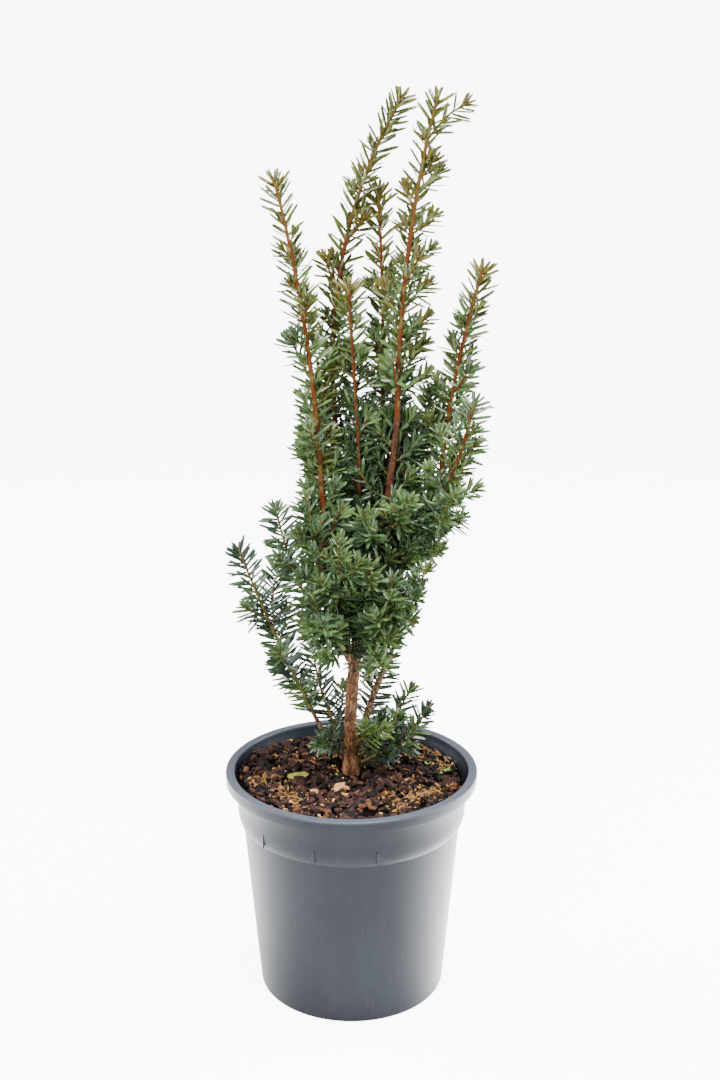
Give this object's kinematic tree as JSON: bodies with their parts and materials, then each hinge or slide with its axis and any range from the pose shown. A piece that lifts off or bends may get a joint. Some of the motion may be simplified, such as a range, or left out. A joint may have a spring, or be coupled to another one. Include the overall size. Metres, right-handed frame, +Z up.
{
  "type": "potted dwarf japanese yew",
  "caption": "Young upright dwarf japanese yew with slim needled leaders, growing in a round nursery pot of bark soil.",
  "frame": {"origin": "centre of the pot's flat underside, on the surface it stands on", "axes": "+Z up along the pot's axis, -Y towards the side seen in front, +X to its right"},
  "size_m": [0.1997, 0.19, 0.6696],
  "materials": {
    "pot_plastic": "satin slate grey moulded plastic",
    "bark_soil": "damp dark bark chips",
    "trunk_bark": "flaky grey-orange bark",
    "young_bark": "smooth light brown young bark",
    "foliage_upper": "olive to yellow-green needles on red-brown shoots",
    "foliage_lower": "dark green satin needles",
    "foliage_fresh": "bright green needles"
  },
  "bodies": {
    "root": {"pot": "pot_plastic", "soil": "bark_soil", "trunk": "trunk_bark", "bough_left": "young_bark", "bough_middle": "young_bark", "bough_right": "young_bark", "bough_back": "young_bark", "bough_low_left": "young_bark", "leader_left": "foliage_upper", "leader_middle": "foliage_upper", "leader_middle_front": "foliage_upper", "leader_centre": "foliage_upper", "leader_main": "foliage_upper", "leader_right": "foliage_upper", "leader_right_front": "foliage_upper", "leader_right_back": "foliage_lower", "shoot_right_front": "foliage_lower", "shoot_right_low": "foliage_lower", "shoot_left_front": "foliage_lower", "shoot_left_outer": "foliage_lower", "shoot_left_inner": "foliage_lower", "shoot_front_left": "foliage_lower", "shoot_front_low": "foliage_lower", "shoot_front_right": "foliage_lower", "shoot_front_middle": "foliage_lower", "shoot_front_upper": "foliage_lower", "shoot_front_high": "foliage_lower", "shoot_low_left": "foliage_lower", "shoot_low_back": "foliage_lower", "shoot_low_right_back": "foliage_lower", "shoot_low_right": "foliage_lower", "tuft_low_left": "foliage_fresh", "tuft_low_right": "foliage_fresh", "shoot_back_right": "foliage_lower", "shoot_back_low": "foliage_lower", "shoot_back_left": "foliage_lower", "shoot_back_middle": "foliage_lower", "shoot_back_upper": "foliage_lower", "shoot_back_high": "foliage_lower"}
  },
  "joints": []
}
